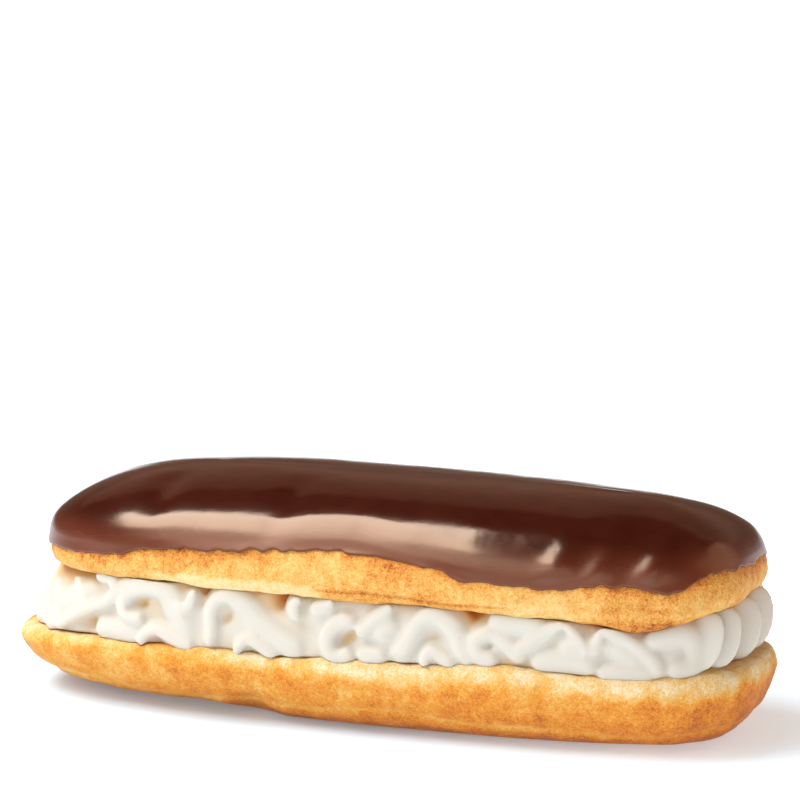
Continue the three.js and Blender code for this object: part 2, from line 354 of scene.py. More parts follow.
LID_ROUND = 2.4
LID_WIDEST = 29
LID_TOP = HEIGHT - ICING - GAP
LID_DIP = 0.8
CROWN_PLACE = 8
CROWN_FALL = 1.2
CROWN_INSET = 12  # the crown's fall is measured this far in from the ends
LEFT_SLOPE = 0.15
LID_LUMPS = [(0.35, 13, 21), (0.22, 5, 22), (0.12, 2.2, 23), (0.08, 1.2, 24)]  # height, size and seed
FINE_CREASE, FINE_WIDTH, FINE_DEPTH = 28.5, 0.35, 0.4
ROLL_CREASE, ROLL_WIDTH, ROLL_DEPTH = 29.3, 0.6, 0.35
DOME = [
    [0, LID_WIDEST],
    [0.3, LID_TOP - 6.8],
    [HALF_WIDTH * 0.42, LID_TOP],
    [HALF_WIDTH, LID_TOP],
]
LID_FACE = [[HALF_WIDTH, LID_HEIGHT + LID_DIP], [LID_ROUND, LID_HEIGHT]]
LID_ROLL = [
    [LID_ROUND, LID_HEIGHT],
    [LID_ROUND * 0.3, LID_HEIGHT],
    [0, LID_WIDEST - 1.5],
    [0, LID_WIDEST],
]


def lid_outline(t, inset):
    """The lid's squircle, whose middle drifts to the right as it goes in, so the left end slopes more."""
    drift = LEFT_SLOPE * np.maximum(inset, 0)
    return plan(t, inset, LID_LENGTH / 2 - drift, LID_SHIFT + drift, HALF_WIDTH)


def lid_lift(height, place, inset, x, y=None):
    """Height plus the cut edge's own rise, which fades upwards, less the crown's fall towards both
    ends."""
    crown = np.clip((height - LID_WIDEST) / (LID_TOP - LID_WIDEST), 0, 1)
    fall = CROWN_FALL * ((x - CROWN_PLACE) / (LID_LENGTH / 2 - CROWN_INSET)) ** 2
    edge = height_inside(LID_EDGE, place, inset) - LID_HEIGHT
    return height + (1 - crown) * edge - crown**2 * fall


def lid_creases(x, y, z):
    """Closeness to the two creases of the front, each a bell in height about a wandering line: a fine
    one near the cut edge, and the top of the right-hand roll."""
    front = ramp(-y, 5, 15)
    fine_line = FINE_CREASE - 0.02 * (x + 10) + 0.3 * np.sin(x / 4)
    fine = bump(z, fine_line, FINE_WIDTH) * ramp(x, -12, -4) * ramp(-x, -40, -28)
    roll_line = ROLL_CREASE + 0.35 * np.sin(x / 5) + 0.3 * np.sin(x / 2.1)
    roll = bump(z, roll_line, ROLL_WIDTH) * ramp(x, 30, 42) * ramp(-x, -70, -62)
    return fine * front, roll * front


def lid_relief(x, y, z):
    """Lumps of four sizes, which fade out under the chocolate, and the two creases."""
    fine, roll = lid_creases(x, y, z)
    band = ramp(-z, -36, -33)
    return all_lumps(x, y, z, LID_LUMPS) * band - FINE_DEPTH * fine - ROLL_DEPTH * roll


def lid_bake(grid, icing_edge):
    """How brown the crust is, from 0 to 1: a sum of steps that is brown under the chocolate's edge, paler
    below, palest where the crumb shows at the lower left, paler on the front right of the middle, darker
    along both creases, and brown again under the roll at the right."""
    x, y, z = np.moveaxis(grid, -1, 0)
    fine, roll = lid_creases(x, y, z)
    drop = icing_edge - z + 0.8 * lumps(x, y, z, 6, 31) + 0.6 * lumps(x, y, z, 2.2, 32)
    bake_and_shade = 0.53 + 0.2 * ramp(-drop, -3.5, 0.4) + 0.12 * lumps(x, y, z, 9, 33)
    under = ramp(-z, -28, -26) * ramp(x, 40, 55)
    bake_and_shade = bake_and_shade + 0.24 * under + 0.2 * fine + 0.05 * roll
    low = z + 0.5 * lumps(x, y, z, 4, 34) + 0.4 * lumps(x, y, z, 1.6, 35)
    crumb = ramp(-low, -29.4, -28.2) * ramp(-x, 2, 8) * ramp(x, -44, -36)
    bake_and_shade = bake_and_shade - 0.34 * crumb - 0.14 * bump(x, 32, 15) * ramp(-y, 8, 16)
    return np.clip(bake_and_shade, 0, 1)


def make_lid(material):
    """The lid's profile, from the spine of the cut face round the rolled edge to the crown, carried
    round its outline."""
    points = profile((LID_FACE, 22), (LID_ROLL, 16), (DOME, 60))
    grid = carried(points, lid_outline, lid_lift, lid_relief)
    icing_edge = height_at(ICING_LINE, place_at(ROUND_T))[None, :]
    faces = skin_quads(*grid.shape[:2])
    piece = make_piece("lid_crust", grid.reshape(-1, 3), faces, {"bake_and_shade": lid_bake(grid, icing_edge)})
    return dress(piece, "choux_lid", material)


# The coat of chocolate

LIP = 9.0  # from the coat's edge up to where it has its full thickness
LIP_THICK = 0.25
LIP_ROUND = 0.5  # how far the edge's own rounding reaches
DOME_LENGTH = 36
DOME_HALVINGS = 30
ICING_ROWS = 84
ROW_CROWDING = 1.3  # power that draws the rows together near the edge
INNER_STEP = 4  # the hidden inner side has one row for so many of the outer side's
ICING_LUMPS = [(0.3, 21, 41), (0.07, 8, 42), (0.02, 3.5, 45)]  # height, size and seed
RAGGED_EDGE = [(0.35, 6, 43), (0.35, 2.2, 44), (0.2, 1.3, 46)]  # the same, for the edge's own height
SWELL_RISE = 3  # the swell sets in over this climb from the edge
BULGE_HEIGHT, BULGE_SLANT = 35.5, 0.4
BULGES = [(40.5, 2.6, 0.5), (48.5, 2.3, 0.55), (57.5, 2.6, 0.85)]  # place along the bun, width and height
SHOULDER, DIP_DEPTH = 41, 0.45
DIPS = [(-41, 3.0), (-15, 3.4)]  # dips across the front's shoulder: place along the bun and width
THIN_SHEEN_LEAST, THIN_SHEEN_MORE = 0.15, 0.7  # how much the coat is lightened at its crown, and how much more at its edge, where it is thinner: partly its own colour, partly painted sheen
THIN_SHEEN_FROM, THIN_SHEEN_TO = 11, 1  # climbs from the edge between which that changes


def dome_points(share):
    """Inset and height on the dome's Bezier, and the unit direction along it."""
    p = np.array(DOME, float)
    s = np.asarray(share)[..., None]
    spot = cubic(p, s)
    way = (1 - s) ** 2 * (p[1] - p[0]) + 2 * (1 - s) * s * (p[2] - p[1]) + s**2 * (p[3] - p[2])
    return spot, way / np.linalg.norm(way, axis=-1, keepdims=True)


def dome_share(height, place, x):
    """Where along the dome a height lies, found by halving the range DOME_HALVINGS times."""
    low, high = np.zeros_like(height), np.ones_like(height)
    for _ in range(DOME_HALVINGS):
        middle = (low + high) / 2
        spot, _way = dome_points(middle)
        under = lid_lift(spot[..., 1], place, spot[..., 0], x) < height
        low, high = np.where(under, middle, low), np.where(under, high, middle)
    return low


def icing_swell(x, y, z):
    """The coat's slow unevenness: lumps of three sizes, bulges low on the front and dips across its
    shoulder, each a bell along the bun times a bell in height."""
    low = bump(z, BULGE_HEIGHT, 2.5) * ramp(-y, 10, 18)
    along = x + BULGE_SLANT * (BULGE_HEIGHT - z)
    bulges = sum(height * bump(along, place, width) for place, width, height in BULGES)
    shoulder = bump(z, SHOULDER, 3.5) * ramp(-y, 6, 12)
    dips = sum(bump(x, place, width) for place, width in DIPS)
    return all_lumps(x, y, z, ICING_LUMPS) + bulges * low - DIP_DEPTH * dips * shoulder


def make_icing(material):
    """The dome from the chocolate's ragged edge up to the crown, moved off along its own normal: by GAP
    inside, and outside by GAP, the coat and its swell. The coat is a quarter round at its edge plus an
    ease up to its full thickness, which climbs from the smooth line through the ragged edge."""
    t = ROUND_T
    place = place_at(t)
    x0, y0 = lid_outline(t, 0)
    line = height_at(ICING_LINE, place)
    start = dome_share(line + all_lumps(x0, y0, 0, RAGGED_EDGE), place, x0)
    even_start = dome_share(line, place, x0)
    up = np.linspace(0, 1, ICING_ROWS) ** ROW_CROWDING
    rows = np.concatenate([up[:0:-INNER_STEP], up])
    outside = (np.arange(len(rows)) >= len(rows) - ICING_ROWS)[:, None]
    share = start + (1 - start) * rows[:, None]
    spot, way = dome_points(share)
    climb = (share - start) * DOME_LENGTH
    even_climb = (share - even_start) * DOME_LENGTH
    rounding = np.sqrt(1 - (1 - np.clip(climb / LIP_ROUND, 0, 1)) ** 2)
    coat = LIP_THICK * rounding + (ICING - LIP_THICK) * ramp(even_climb, 0, LIP)
    x, y = lid_outline(t[None, :], spot[..., 0])
    z = lid_lift(spot[..., 1], place[None, :], spot[..., 0], x)
    swell = icing_swell(x, y, z) * ramp(HALF_WIDTH - spot[..., 0], 0, SPINE_FADE)
    swell = swell * ramp(even_climb, 0, SWELL_RISE)
    off = np.where(outside, GAP + coat + swell, GAP)
    inset = np.minimum(spot[..., 0] - way[..., 1] * off, HALF_WIDTH)
    x, y = lid_outline(t[None, :], inset)
    z = lid_lift(spot[..., 1], place[None, :], spot[..., 0], x) + way[..., 0] * off
    grid = np.stack([x, y, z], axis=-1)
    # lightens and dulls the coat towards its edge: the lighter brown is partly the thinner coat's own colour
    # and partly painted sheen
    thin_and_sheen = THIN_SHEEN_LEAST + THIN_SHEEN_MORE * ramp(-even_climb, -THIN_SHEEN_FROM, -THIN_SHEEN_TO)
    faces = skin_quads(*grid.shape[:2])
    piece = make_piece("chocolate_coat", grid.reshape(-1, 3), faces, {"thin_and_sheen": thin_and_sheen})
    return dress(piece, "chocolate_icing", material)


# The filling

CREAM_EDGE = 0.6  # inset of the cream's foremost points from the edges of the two halves
WALL_BACK = 1.7  # how far the body behind the strokes lies behind their fronts
WALL_LUMPS = 0.5
WALL_ROWS = 45  # rows up the body's side
FACE_ROWS = 24  # rows across each of its faces
RECESS = 1.0  # how far the body draws back at the lid
GAP_HEIGHT = 12  # about the height between the two halves
TOP_GAPS, TOP_GAP_WIDTH, TOP_GAP_DEPTH = (-33, -16.3, 24), 2.6, 4.0
PIT_DEPTH = 1.2
PITS = [  # the hollows: place along the front, share of the gap's height, size
    (-58, 0.2, 1.6), (-47.4, 0.6, 1.2), (-39.8, 0.06, 1.5), (-27.2, 0.52, 1.2), (-19.5, 0.06, 1.5),
    (-1.2, 0.36, 1.7), (17, 0.44, 1.4), (20.5, 0.08, 1.2), (27.6, 0.4, 1.3),
]
STROKE_LINE = 2.0  # inset of the line that places along the cream are measured on
SLOPE_STEP = 1e-4  # the turn over which that line's direction is measured
SKIRT, SKIRT_BACK = 1.65, 1.1  # the soft shoulder behind each stroke: how much wider, how far back
FLATNESS = 0.75  # a stroke's depth over its height
DROOP = 0.08  # how far strokes sink onto the base, as a share of the gap, the more the lower they lie
SETBACK = 0.3  # how much further back a stroke lies for each millimetre of its radius
FRONT_RADIUS = 1.3  # a stroke of this radius has its front right at the cream's edge
WAVE = (-28.8, 20)  # place of the foot, and width
CURLS = [(-1.5, 0.38, 3.4), (28, 0.4, 2.6)]  # place, share of the gap's height, size
CURL_RADIUS = 1.8
HOOKS = [(-42.6, 11), (-22, 8), (16, 6)]  # place and width
HIDDEN_WAVES = 11
HIDDEN_FROM, HIDDEN_TO = 116, -72
HIDDEN_LEAD = 0.1  # how far into its own width each hidden wave starts
# The upright shells at the right end: place and half width.
SHELLS = [(70.3, 3.0), (74.3, 3.0), (82.2, 4.0), (90.8, 4.4), (99.5, 4.4), (108, 4.4)]
SHELL_OUT = 1.2  # how far the shells stand out beyond the strokes
SHELL_TURN = 0.8  # how much more each shell's right edge stands out than its left
SHELL_DEPTH = 0.6  # a shell's depth over its width
SHELL_ROUND = 0.7  # power of the sine that rounds its ends
SHELL_LEAN = 1.2  # how far its top leans to the right, and its foot to the left
SHELL_RISE = 0.6  # how far its top reaches past the lid's edge
SHELL_ROWS, SHELL_SIDES = 36, 84
SHELL_FLUTES, FLUTE = 7, 0.05
SHELL_DISH = 4.0  # how far the body draws back behind the shells
DISH_START, DISH_END = (68.3, 73.3), (118, 112)  # places over which that sets in and fades out
REST = 0.05  # how far the cream stays off both cut faces
PRESS_LIMIT = 3  # the lid presses the cream down by no more than this
FACE_POINTS, EDGE_POINTS = 4, 30  # points of the cut faces and their edges, where the cream is pressed
OUTSIDE = -8.0  # the cream stands out beyond an outline by less than this
INSET_HALVINGS = 28
HOLLOW_SHADE_FROM, HOLLOW_SHADE_TO = 1.5, 4.2  # insets over which the cream takes on the painted shade and warm bounced light of its hollows
VOXEL = 0.5
STROKE_STEPS = 12  # steps between two stops of a stroke
STROKE_SIDES = 40

LINE_T, LINE_LENGTH = edge_table(HALF_LENGTH, 0, STROKE_LINE)
LINE_GIRTH = LINE_LENGTH[-1]


def wave(foot, width):
    """Stops of an S: up from its foot, leaning back, over its crest and down a long broad fall."""
    path = [
        (0, 0.12, 1.4), (-0.02, 0.36, 1.5), (-0.09, 0.62, 1.5), (-0.07, 0.84, 1.5), (0.05, 0.9, 1.7),
        (0.25, 0.74, 2.8), (0.45, 0.5, 3.6), (0.72, 0.28, 3.2), (1, 0.12, 2.0),
    ]
    return [(foot + width * part, share, radius) for part, share, radius in path]


def curl(place, share, size):
    """Stops of a C of that size about a place, open to the right."""
    turns = np.radians([50, 95, 140, 185, 230, 275, 320])
    return [
        (place + size * math.cos(a), share + size * math.sin(a) / GAP_HEIGHT, CURL_RADIUS) for a in turns
    ]


def hook(place, width):
    """Stops of a low hook: it starts at the base, turns over to the right and runs out along the base."""
    path = [
        (0, 0.04, 1.0), (-0.05, 0.17, 1.1), (0.12, 0.29, 1.3),
        (0.45, 0.22, 1.5), (0.8, 0.12, 1.6), (1, 0.1, 1.5),
    ]
    return [(place + width * part, share, radius) for part, share, radius in path]


# Stops of the plain strokes, from left to right: place along the front, share of the gap's height, radius.
RIBBONS = [
    # the fan at the left: its body, its lip, two folds and its foot
    [(-67, 0.36, 2.6), (-62, 0.58, 3.6), (-57.5, 0.76, 2.8)],
    [(-60, 0.98, 1.2), (-56, 0.95, 1.2), (-53.6, 0.8, 1.2), (-54.4, 0.62, 1.2), (-58, 0.48, 1.2),
     (-61.6, 0.3, 1.2), (-64.5, 0.12, 1.2)],
    [(-65, 0.9, 1.0), (-62, 0.72, 1.1), (-59, 0.56, 0.8)],
    [(-71, 0.8, 1.2), (-68, 0.56, 1.2), (-64.5, 0.3, 1.0)],
    [(-72, 0.36, 2.0), (-68, 0.2, 2.0), (-64.5, 0.1, 1.6)],
    # the low roll, the first curl with its crest and fall, and a tip
    [(-55, 0.18, 2.4), (-51, 0.2, 2.6), (-46.5, 0.18, 2.5), (-43.5, 0.14, 1.6)],
    [(-44.5, 0.42, 1.6), (-47.8, 0.42, 1.3), (-50.2, 0.52, 1.3), (-50.7, 0.7, 1.4), (-49, 0.84, 1.5),
     (-45.5, 0.9, 1.9), (-42, 0.84, 2.6), (-38.8, 0.62, 3.4), (-35.6, 0.38, 3.4), (-32.5, 0.16, 2.2)],
    [(-54, 0.66, 1.8), (-51, 0.9, 1.8), (-46, 0.96, 1.6)],
    [(-38.4, 0.76, 0.9), (-37, 0.62, 1.2), (-35.7, 0.7, 1.2), (-35.8, 0.84, 1.1), (-35.4, 0.96, 0.6)],
    # under the lid in the middle: a knob and a short ribbon
    [(-11.2, 0.66, 1.2), (-13, 0.74, 1.5), (-13.3, 0.88, 1.3), (-12.2, 0.98, 0.6)],
    [(-10, 0.8, 1.5), (-7.4, 0.84, 1.8), (-5.8, 0.93, 1.1), (-5.2, 1.0, 0.4)],
    # the leaf: its ridge, its body and its foot
    [(1.2, 0.46, 0.9), (3.8, 0.68, 1.8), (6, 0.86, 1.6), (7.4, 1.0, 0.5)],
    [(4, 0.42, 2.2), (6.8, 0.58, 2.8), (8.4, 0.78, 2.2)],
    [(2.2, 0.1, 1.7), (4.6, 0.15, 1.9), (8.2, 0.14, 1.6)],
    # the second wave, fuller than the first
    [(9.8, 0.1, 1.9), (11, 0.26, 2.1), (12.2, 0.48, 2.1), (13.2, 0.7, 1.9), (15.6, 0.86, 1.9),
     (19.2, 0.76, 2.3), (21.8, 0.52, 2.4), (23.4, 0.26, 2.2), (25.5, 0.1, 1.7)],
    # the ribbon under the lid, the fall of the last curl and the stroke up to the first peak
    [(27.5, 0.86, 1.9), (33, 0.84, 2.5), (39.5, 0.84, 2.0)],
    [(28.6, 0.64, 1.4), (31.4, 0.5, 2.0), (35.5, 0.2, 1.9)],
    [(33, 0.3, 1.3), (36.5, 0.54, 1.8), (40, 0.8, 1.7), (43.2, 1.0, 0.4)],
    # the bodies under the two peaks
    [(36.5, 0.16, 2.0), (41, 0.28, 3.2), (46, 0.28, 3.0), (49.5, 0.18, 2.0)],
    [(42, 0.62, 2.2), (46.5, 0.54, 2.4), (50.5, 0.56, 2.4)],
    [(50.5, 0.6, 2.4), (54, 0.62, 3.0), (57.5, 0.42, 3.2), (59, 0.24, 2.6)],
    [(49.4, 0.08, 1.7), (53, 0.16, 2.6), (57, 0.14, 2.6), (60.5, 0.08, 1.7)],
    # the ridges from the two peaks
    [(43.2, 0.99, 0.5), (45, 0.82, 1.1), (46.8, 0.62, 1.2), (48, 0.42, 1.2)],
    [(50.7, 1.0, 0.5), (49.9, 0.76, 1.1), (49, 0.46, 1.2)],
    [(50.7, 1.0, 0.5), (53.2, 0.94, 1.2), (56.2, 0.8, 1.4), (59.4, 0.54, 1.6), (60.8, 0.3, 1.5),
     (60.8, 0.1, 1.3)],
    # the two lips beside them, joined at the right
    [(59, 0.8, 1.6), (63, 0.82, 2.3), (67, 0.74, 2.5), (68.9, 0.5, 2.3), (67.5, 0.22, 2.3),
     (62.5, 0.16, 1.9)],
]


def hidden_waves():
    """Stops of an even row of waves round the side and the back, where the photograph shows nothing."""
    places = np.linspace(HIDDEN_FROM, HIDDEN_TO + LINE_GIRTH, HIDDEN_WAVES + 1)
    width = places[1] - places[0]
    return [wave(place + HIDDEN_LEAD * width, width) for place in places[:-1]]


def shown_strokes():
    """Stops of all the strokes that the photograph shows."""
    strokes = RIBBONS + [wave(*WAVE)] + [curl(*places) for places in CURLS]
    return strokes + [hook(*places) for places in HOOKS]


def gap_outline(t, inset, share):
    """The outline at a share of the gap's height: between the base's at 0 and the lid's at 1."""
    base, lid = base_outline(t, inset), lid_outline(t, inset)
    return tuple(b + (l - b) * share for b, l in zip(base, lid))


def cream_outline(t, inset):
    """The outline of the cream's foremost points, half way up the gap."""
    return gap_outline(t, inset + CREAM_EDGE, 0.5)


def line_frame(along, share):
    """Point of the cream's line at a length along it, the outward direction there, which is square to a
    small step along the line, and the angle of the plan."""
    t = np.interp(along % LINE_GIRTH, LINE_LENGTH, LINE_T)
    x, y = gap_outline(t, STROKE_LINE, share)
    x2, y2 = gap_outline(t + SLOPE_STEP, STROKE_LINE, share)
    way = np.stack([y2 - y, x - x2, 0 * x], axis=-1)
    return np.stack([x, y, 0 * x], axis=-1), way / np.linalg.norm(way, axis=-1, keepdims=True), t


def through(stops):
    """A smooth path through stops: between two of them, the cubic whose slope at each stop is half the
    difference of its neighbours."""
    p = np.array(stops, float)
    p = np.concatenate([[2 * p[0] - p[1]], p, [2 * p[-1] - p[-2]]])
    w = np.linspace(0, len(stops) - 1, STROKE_STEPS * (len(stops) - 1) + 1)
    i = np.minimum(w.astype(int), len(stops) - 2)
    s = (w - i)[:, None]
    a, b, c, d = (p[i + k] for k in range(4))
    return b + (c - a) / 2 * s + (a - 2.5 * b + 2 * c - d / 2) * s**2 + (1.5 * (b - c) + (d - a) / 2) * s**3


def tube(middle, outward, radius, angle):
    """A section carried along a path: each ring lies square to the path, flattened from front to back."""
    way = np.gradient(middle, axis=0)
    way /= np.linalg.norm(way, axis=1, keepdims=True)
    side = np.cross(way, outward)
    side /= np.linalg.norm(side, axis=1, keepdims=True)
    front = np.cross(side, way)
    ring = FLATNESS * front[:, None] * np.cos(angle)[..., None] - side[:, None] * np.sin(angle)[..., None]
    return middle[:, None] + ring * radius[:, None, None]


def cream_stroke(stops, widen=1.0, behind=0.0):
    """One stroke of the piping bag: a flattened tube through its stops with round ends, whose front
    lies at the cream's edge, and further back the thicker it is. Widened and set behind, it is a soft
    shoulder for itself."""
    along, share, radius = through(stops).T
    radius = widen * radius
    share = share - DROOP * (1 - share) ** 2
    spot, outward, t = line_frame(along, share)
    low = height_at(BASE_EDGE, place_at(t))
    high = height_at(LID_EDGE, place_at(t))
    back = behind + FLATNESS * radius + SETBACK * (radius / widen - FRONT_RADIUS)
    middle = spot + outward * (STROKE_LINE - CREAM_EDGE - back)[:, None]
    middle[:, 2] = low + (high - low) * share
    gone = np.concatenate([[0], np.cumsum(np.linalg.norm(np.diff(middle, axis=0), axis=1))])
    to_end = np.minimum(gone, gone[-1] - gone)
    radius = radius * np.sqrt(1 - (1 - np.clip(to_end / radius, 0, 1)) ** 2)
    angle = (np.arange(STROKE_SIDES) / STROKE_SIDES * TURN)[None, :] + 0 * along[:, None]
    grid = tube(middle, outward, radius, angle)
    return grid.reshape(-1, 3), skin_quads(*grid.shape[:2])


def cream_shell(place, size):
    """An upright shell: an egg of that half width R and as tall as the gap, whose round at the angle v
    up it has the radius R sin(v)^SHELL_ROUND, fluted by 1 - FLUTE |sin(n u / 2)|, and which stands out
    more at its right."""
    v = np.linspace(0, math.pi, SHELL_ROWS)[:, None]
    u = (np.arange(SHELL_SIDES) / SHELL_SIDES * TURN)[None, :]
    spot, outward, t = line_frame(np.array([place]), 0.5)
    low = height_at(BASE_EDGE, place_at(t)) + GAP
    high = height_at(LID_EDGE, place_at(t)) + SHELL_RISE
    right = np.array([-outward[0, 1], outward[0, 0], 0])
    radius = np.sin(v) ** SHELL_ROUND * (1 - FLUTE * np.abs(np.sin(SHELL_FLUTES / 2 * u)))
    out = size * radius * (SHELL_DEPTH * np.cos(u) + SHELL_TURN * np.sin(u)) - size
    out = out + STROKE_LINE - CREAM_EDGE + SHELL_OUT
    across = size * radius * np.sin(u) - SHELL_LEAN * np.cos(v)
    grid = spot + outward * out[..., None] + right * across[..., None]
    grid[..., 2] = (low + high) / 2 - (high - low) / 2 * np.cos(v)
    return grid.reshape(-1, 3), skin_quads(SHELL_ROWS, SHELL_SIDES)


def pits(along, share):
    """Closeness to the hollows: a bell about each of them."""
    total = 0
    for place, height, size in PITS:
        distance = np.hypot(along - place, GAP_HEIGHT * (share - height))
        total = total + bump(distance, 0, size)
    return total


def wall_inset(along, share):
    """How far in the body's side lies: it draws back as the fourth power towards the lid, more so at
    the gaps under it and behind the shells, and into the hollows."""
    back = WALL_BACK + RECESS * np.clip(2 * share - 1, 0, 1) ** 4
    gaps = sum(bump(along, place, TOP_GAP_WIDTH) for place in TOP_GAPS)
    back = back + TOP_GAP_DEPTH * gaps * ramp(share, 0.6, 1)
    back = back + SHELL_DISH * ramp(along, *DISH_START) * ramp(along, *DISH_END)
    return CREAM_EDGE + back + PIT_DEPTH * pits(along, share)


def cream_wall():
    """The body behind the strokes: a lumpy side with hollows at wall_inset, and faces that run in to
    the spine along the two cut faces."""
    steps = np.linspace(0, 1, FACE_ROWS + 1)
    share = np.concatenate([0 * steps[1:], np.linspace(0, 1, WALL_ROWS), 0 * steps[1:] + 1])[:, None]
    inward = np.concatenate([1 - steps[:-1], np.zeros(WALL_ROWS), steps[1:]])[:, None]
    t = ROUND_T[None, :]
    along = np.interp((t + TURN / 4) % TURN - TURN / 4, LINE_T, LINE_LENGTH)
    along = np.where(along > LINE_GIRTH / 2, along - LINE_GIRTH, along)
    x, y = gap_outline(t, STROKE_LINE, share)
    side = wall_inset(along, share) + WALL_LUMPS * lumps(x, y, GAP_HEIGHT * share, 5, 51)
    inset = side + (HALF_WIDTH - side) * inward
    x, y = gap_outline(t, inset, share)
    low = height_inside(BASE_EDGE, place_at(t), inset) - CUT_DIP * inset / HALF_WIDTH + REST
    high = height_inside(LID_EDGE, place_at(t), inset) + LID_DIP * inset / HALF_WIDTH - REST
    grid = np.stack(np.broadcast_arrays(x, y, low + (high - low) * share), axis=-1)
    return grid.reshape(-1, 3), skin_quads(*grid.shape[:2])


def joined(parts):
    """Points and faces of several meshes as one."""
    counts = np.cumsum([0] + [len(points) for points, _ in parts])
    faces = [faces + first for (_, faces), first in zip(parts, counts)]
    return np.concatenate([points for points, _ in parts]), np.concatenate(faces)


def inset_of(x, y, outline):
    """How far inside an outline a point lies, by halving, and the angle of the plan there."""
    low, high = np.full_like(x, OUTSIDE), np.full_like(x, HALF_WIDTH - 1e-3)
    for _ in range(INSET_HALVINGS):
        middle = (low + high) / 2
        t = outline_angle(x, y, middle, outline)
        edge_x, edge_y = outline(t, middle)
        centre = (outline(0.0 * t, middle)[0] + outline(0.0 * t + TURN / 2, middle)[0]) / 2
        inside = np.hypot(x - centre, y) < np.hypot(edge_x - centre, edge_y)
        low, high = np.where(inside, middle, low), np.where(inside, high, middle)
    return low, outline_angle(x, y, low, outline)


def outline_angle(x, y, inset, outline):
    """The plan's angle for the direction of a point from the middle of the outline at that inset."""
    right, left = outline(0 * x, inset)[0], outline(0 * x + TURN / 2, inset)[0]
    return np.arctan2(y / (HALF_WIDTH - inset) / SPREAD, (2 * x - right - left) / (right - left))


def pressed(points):
    """The cream's points held clear of both cut faces: no lower than the base's profile plus REST, and
    no higher than the lid's less REST."""
    x, y, z = points.T
    inset, t = inset_of(x, y, base_outline)
    top = profile((CUT_EDGE, EDGE_POINTS), (CUT_FACE, FACE_POINTS))
    floor = base_lift(np.interp(inset, *top.T), place_at(t), inset, x, y) + REST
    z = np.where(inset > 0, np.maximum(z, floor), z)
    inset, t = inset_of(x, y, lid_outline)
    face = profile((LID_FACE, FACE_POINTS), (LID_ROLL, EDGE_POINTS))[::-1]
    roof = lid_lift(np.interp(inset, *face.T), place_at(t), inset, x) - REST
    z = np.where(inset > 0, np.minimum(z, np.maximum(roof, z - PRESS_LIMIT)), z)
    return np.stack([x, y, z], axis=-1)


def modified(piece, kind, **settings):
    """Gives the piece the mesh that one modifier makes of it."""
    modifier = piece.modifiers.new(kind.lower(), kind)
    for key, value in settings.items():
        setattr(modifier, key, value)
    state = bpy.context.evaluated_depsgraph_get()
    mesh = bpy.data.meshes.new_from_object(piece.evaluated_get(state))
    piece.modifiers.clear()
    piece.data = mesh


def make_cream(material):
    """The body, the strokes, their shoulders and the shells, melted into one skin by cubes of VOXEL,
    smoothed and held clear of the cut faces. Its mark of painted shade and warm bounced light eases from 0
    to 1 with the distance behind the cream's edge, so the hollows are darker and warmer."""
    parts = [cream_wall()]
    strokes = shown_strokes() + hidden_waves()
    parts += [cream_stroke(stops) for stops in strokes]
    parts += [cream_stroke(stops, SKIRT, SKIRT_BACK) for stops in strokes]
    parts += [cream_shell(place, size) for place, size in SHELLS]
    piece = make_piece("piped_cream", *joined(parts))
    modified(piece, "REMESH", mode="VOXEL", voxel_size=VOXEL * MM, use_smooth_shade=True)
    modified(piece, "SMOOTH", factor=0.5, iterations=2)
    spots = np.empty(len(piece.data.vertices) * 3, np.float32)
    piece.data.vertices.foreach_get("co", spots)
    spots = pressed(spots.reshape(-1, 3).astype(float) / MM) * MM
    piece.data.vertices.foreach_set("co", spots.astype(np.float32).ravel())
    modified(piece, "SMOOTH", factor=0.4, iterations=1)
    x, y, _ = spots.reshape(-1, 3).T / MM
    inset, _ = inset_of(x, y, cream_outline)
    # painted shade and warm bounced light, stronger the further behind the cream's edge
    hollow_shade = piece.data.attributes.new("hollow_shade", "FLOAT", "POINT")
    hollow_shade.data.foreach_set("value", ramp(inset, HOLLOW_SHADE_FROM, HOLLOW_SHADE_TO).astype(np.float32))
    piece.data.shade_smooth()
    return dress(piece, "cream_filling", material)


# Finishes

def srgb(red, green, blue, dim=1.0):
    """A colour of 0 to 255 per channel as the linear colour that a shader takes, dimmed by a factor."""
    share = np.array([red, green, blue]) / 255
    linear = dim * np.where(share <= 0.04045, share / 12.92, ((share + 0.055) / 1.055) ** 2.4)
    return (*linear.tolist(), 1.0)


def add(tree, kind, inputs=None, **settings):
    """A node with its settings, and each input set or linked."""
    node = tree.nodes.new(kind)
    for key, value in settings.items():
        setattr(node, key, value)
    for key, value in (inputs or {}).items():
        if isinstance(value, bpy.types.NodeSocket):
            tree.links.new(value, node.inputs[key])
        else:
            node.inputs[key].default_value = value
    return node


def new_finish(name, **values):
    """A material with its shader's plain values set, its node tree and that shader."""
    material = bpy.data.materials.new(name)
    material.use_nodes = True
    shader = material.node_tree.nodes["Principled BSDF"]
    for key, value in values.items():
        shader.inputs[key.replace("_", " ").title().replace("Ior", "IOR")].default_value = value
    return material, material.node_tree, shader


def grain(tree, size_mm, detail=2.0, rough=0.5):
    """Noise of one grain size on the object's own coordinates."""
    coords = add(tree, "ShaderNodeTexCoord").outputs["Object"]
    noise = {"Vector": coords, "Scale": 1 / (size_mm * MM), "Detail": detail, "Roughness": rough}
    return add(tree, "ShaderNodeTexNoise", noise).outputs["Fac"]


def plus(tree, first, second, amount):
    """first + (second - 0.5) * amount."""
    shift = add(tree, "ShaderNodeMath", {0: second, 1: 0.5}, operation="SUBTRACT").outputs[0]
    return add(tree, "ShaderNodeMath", {0: shift, 1: amount, 2: first}, operation="MULTIPLY_ADD").outputs[0]


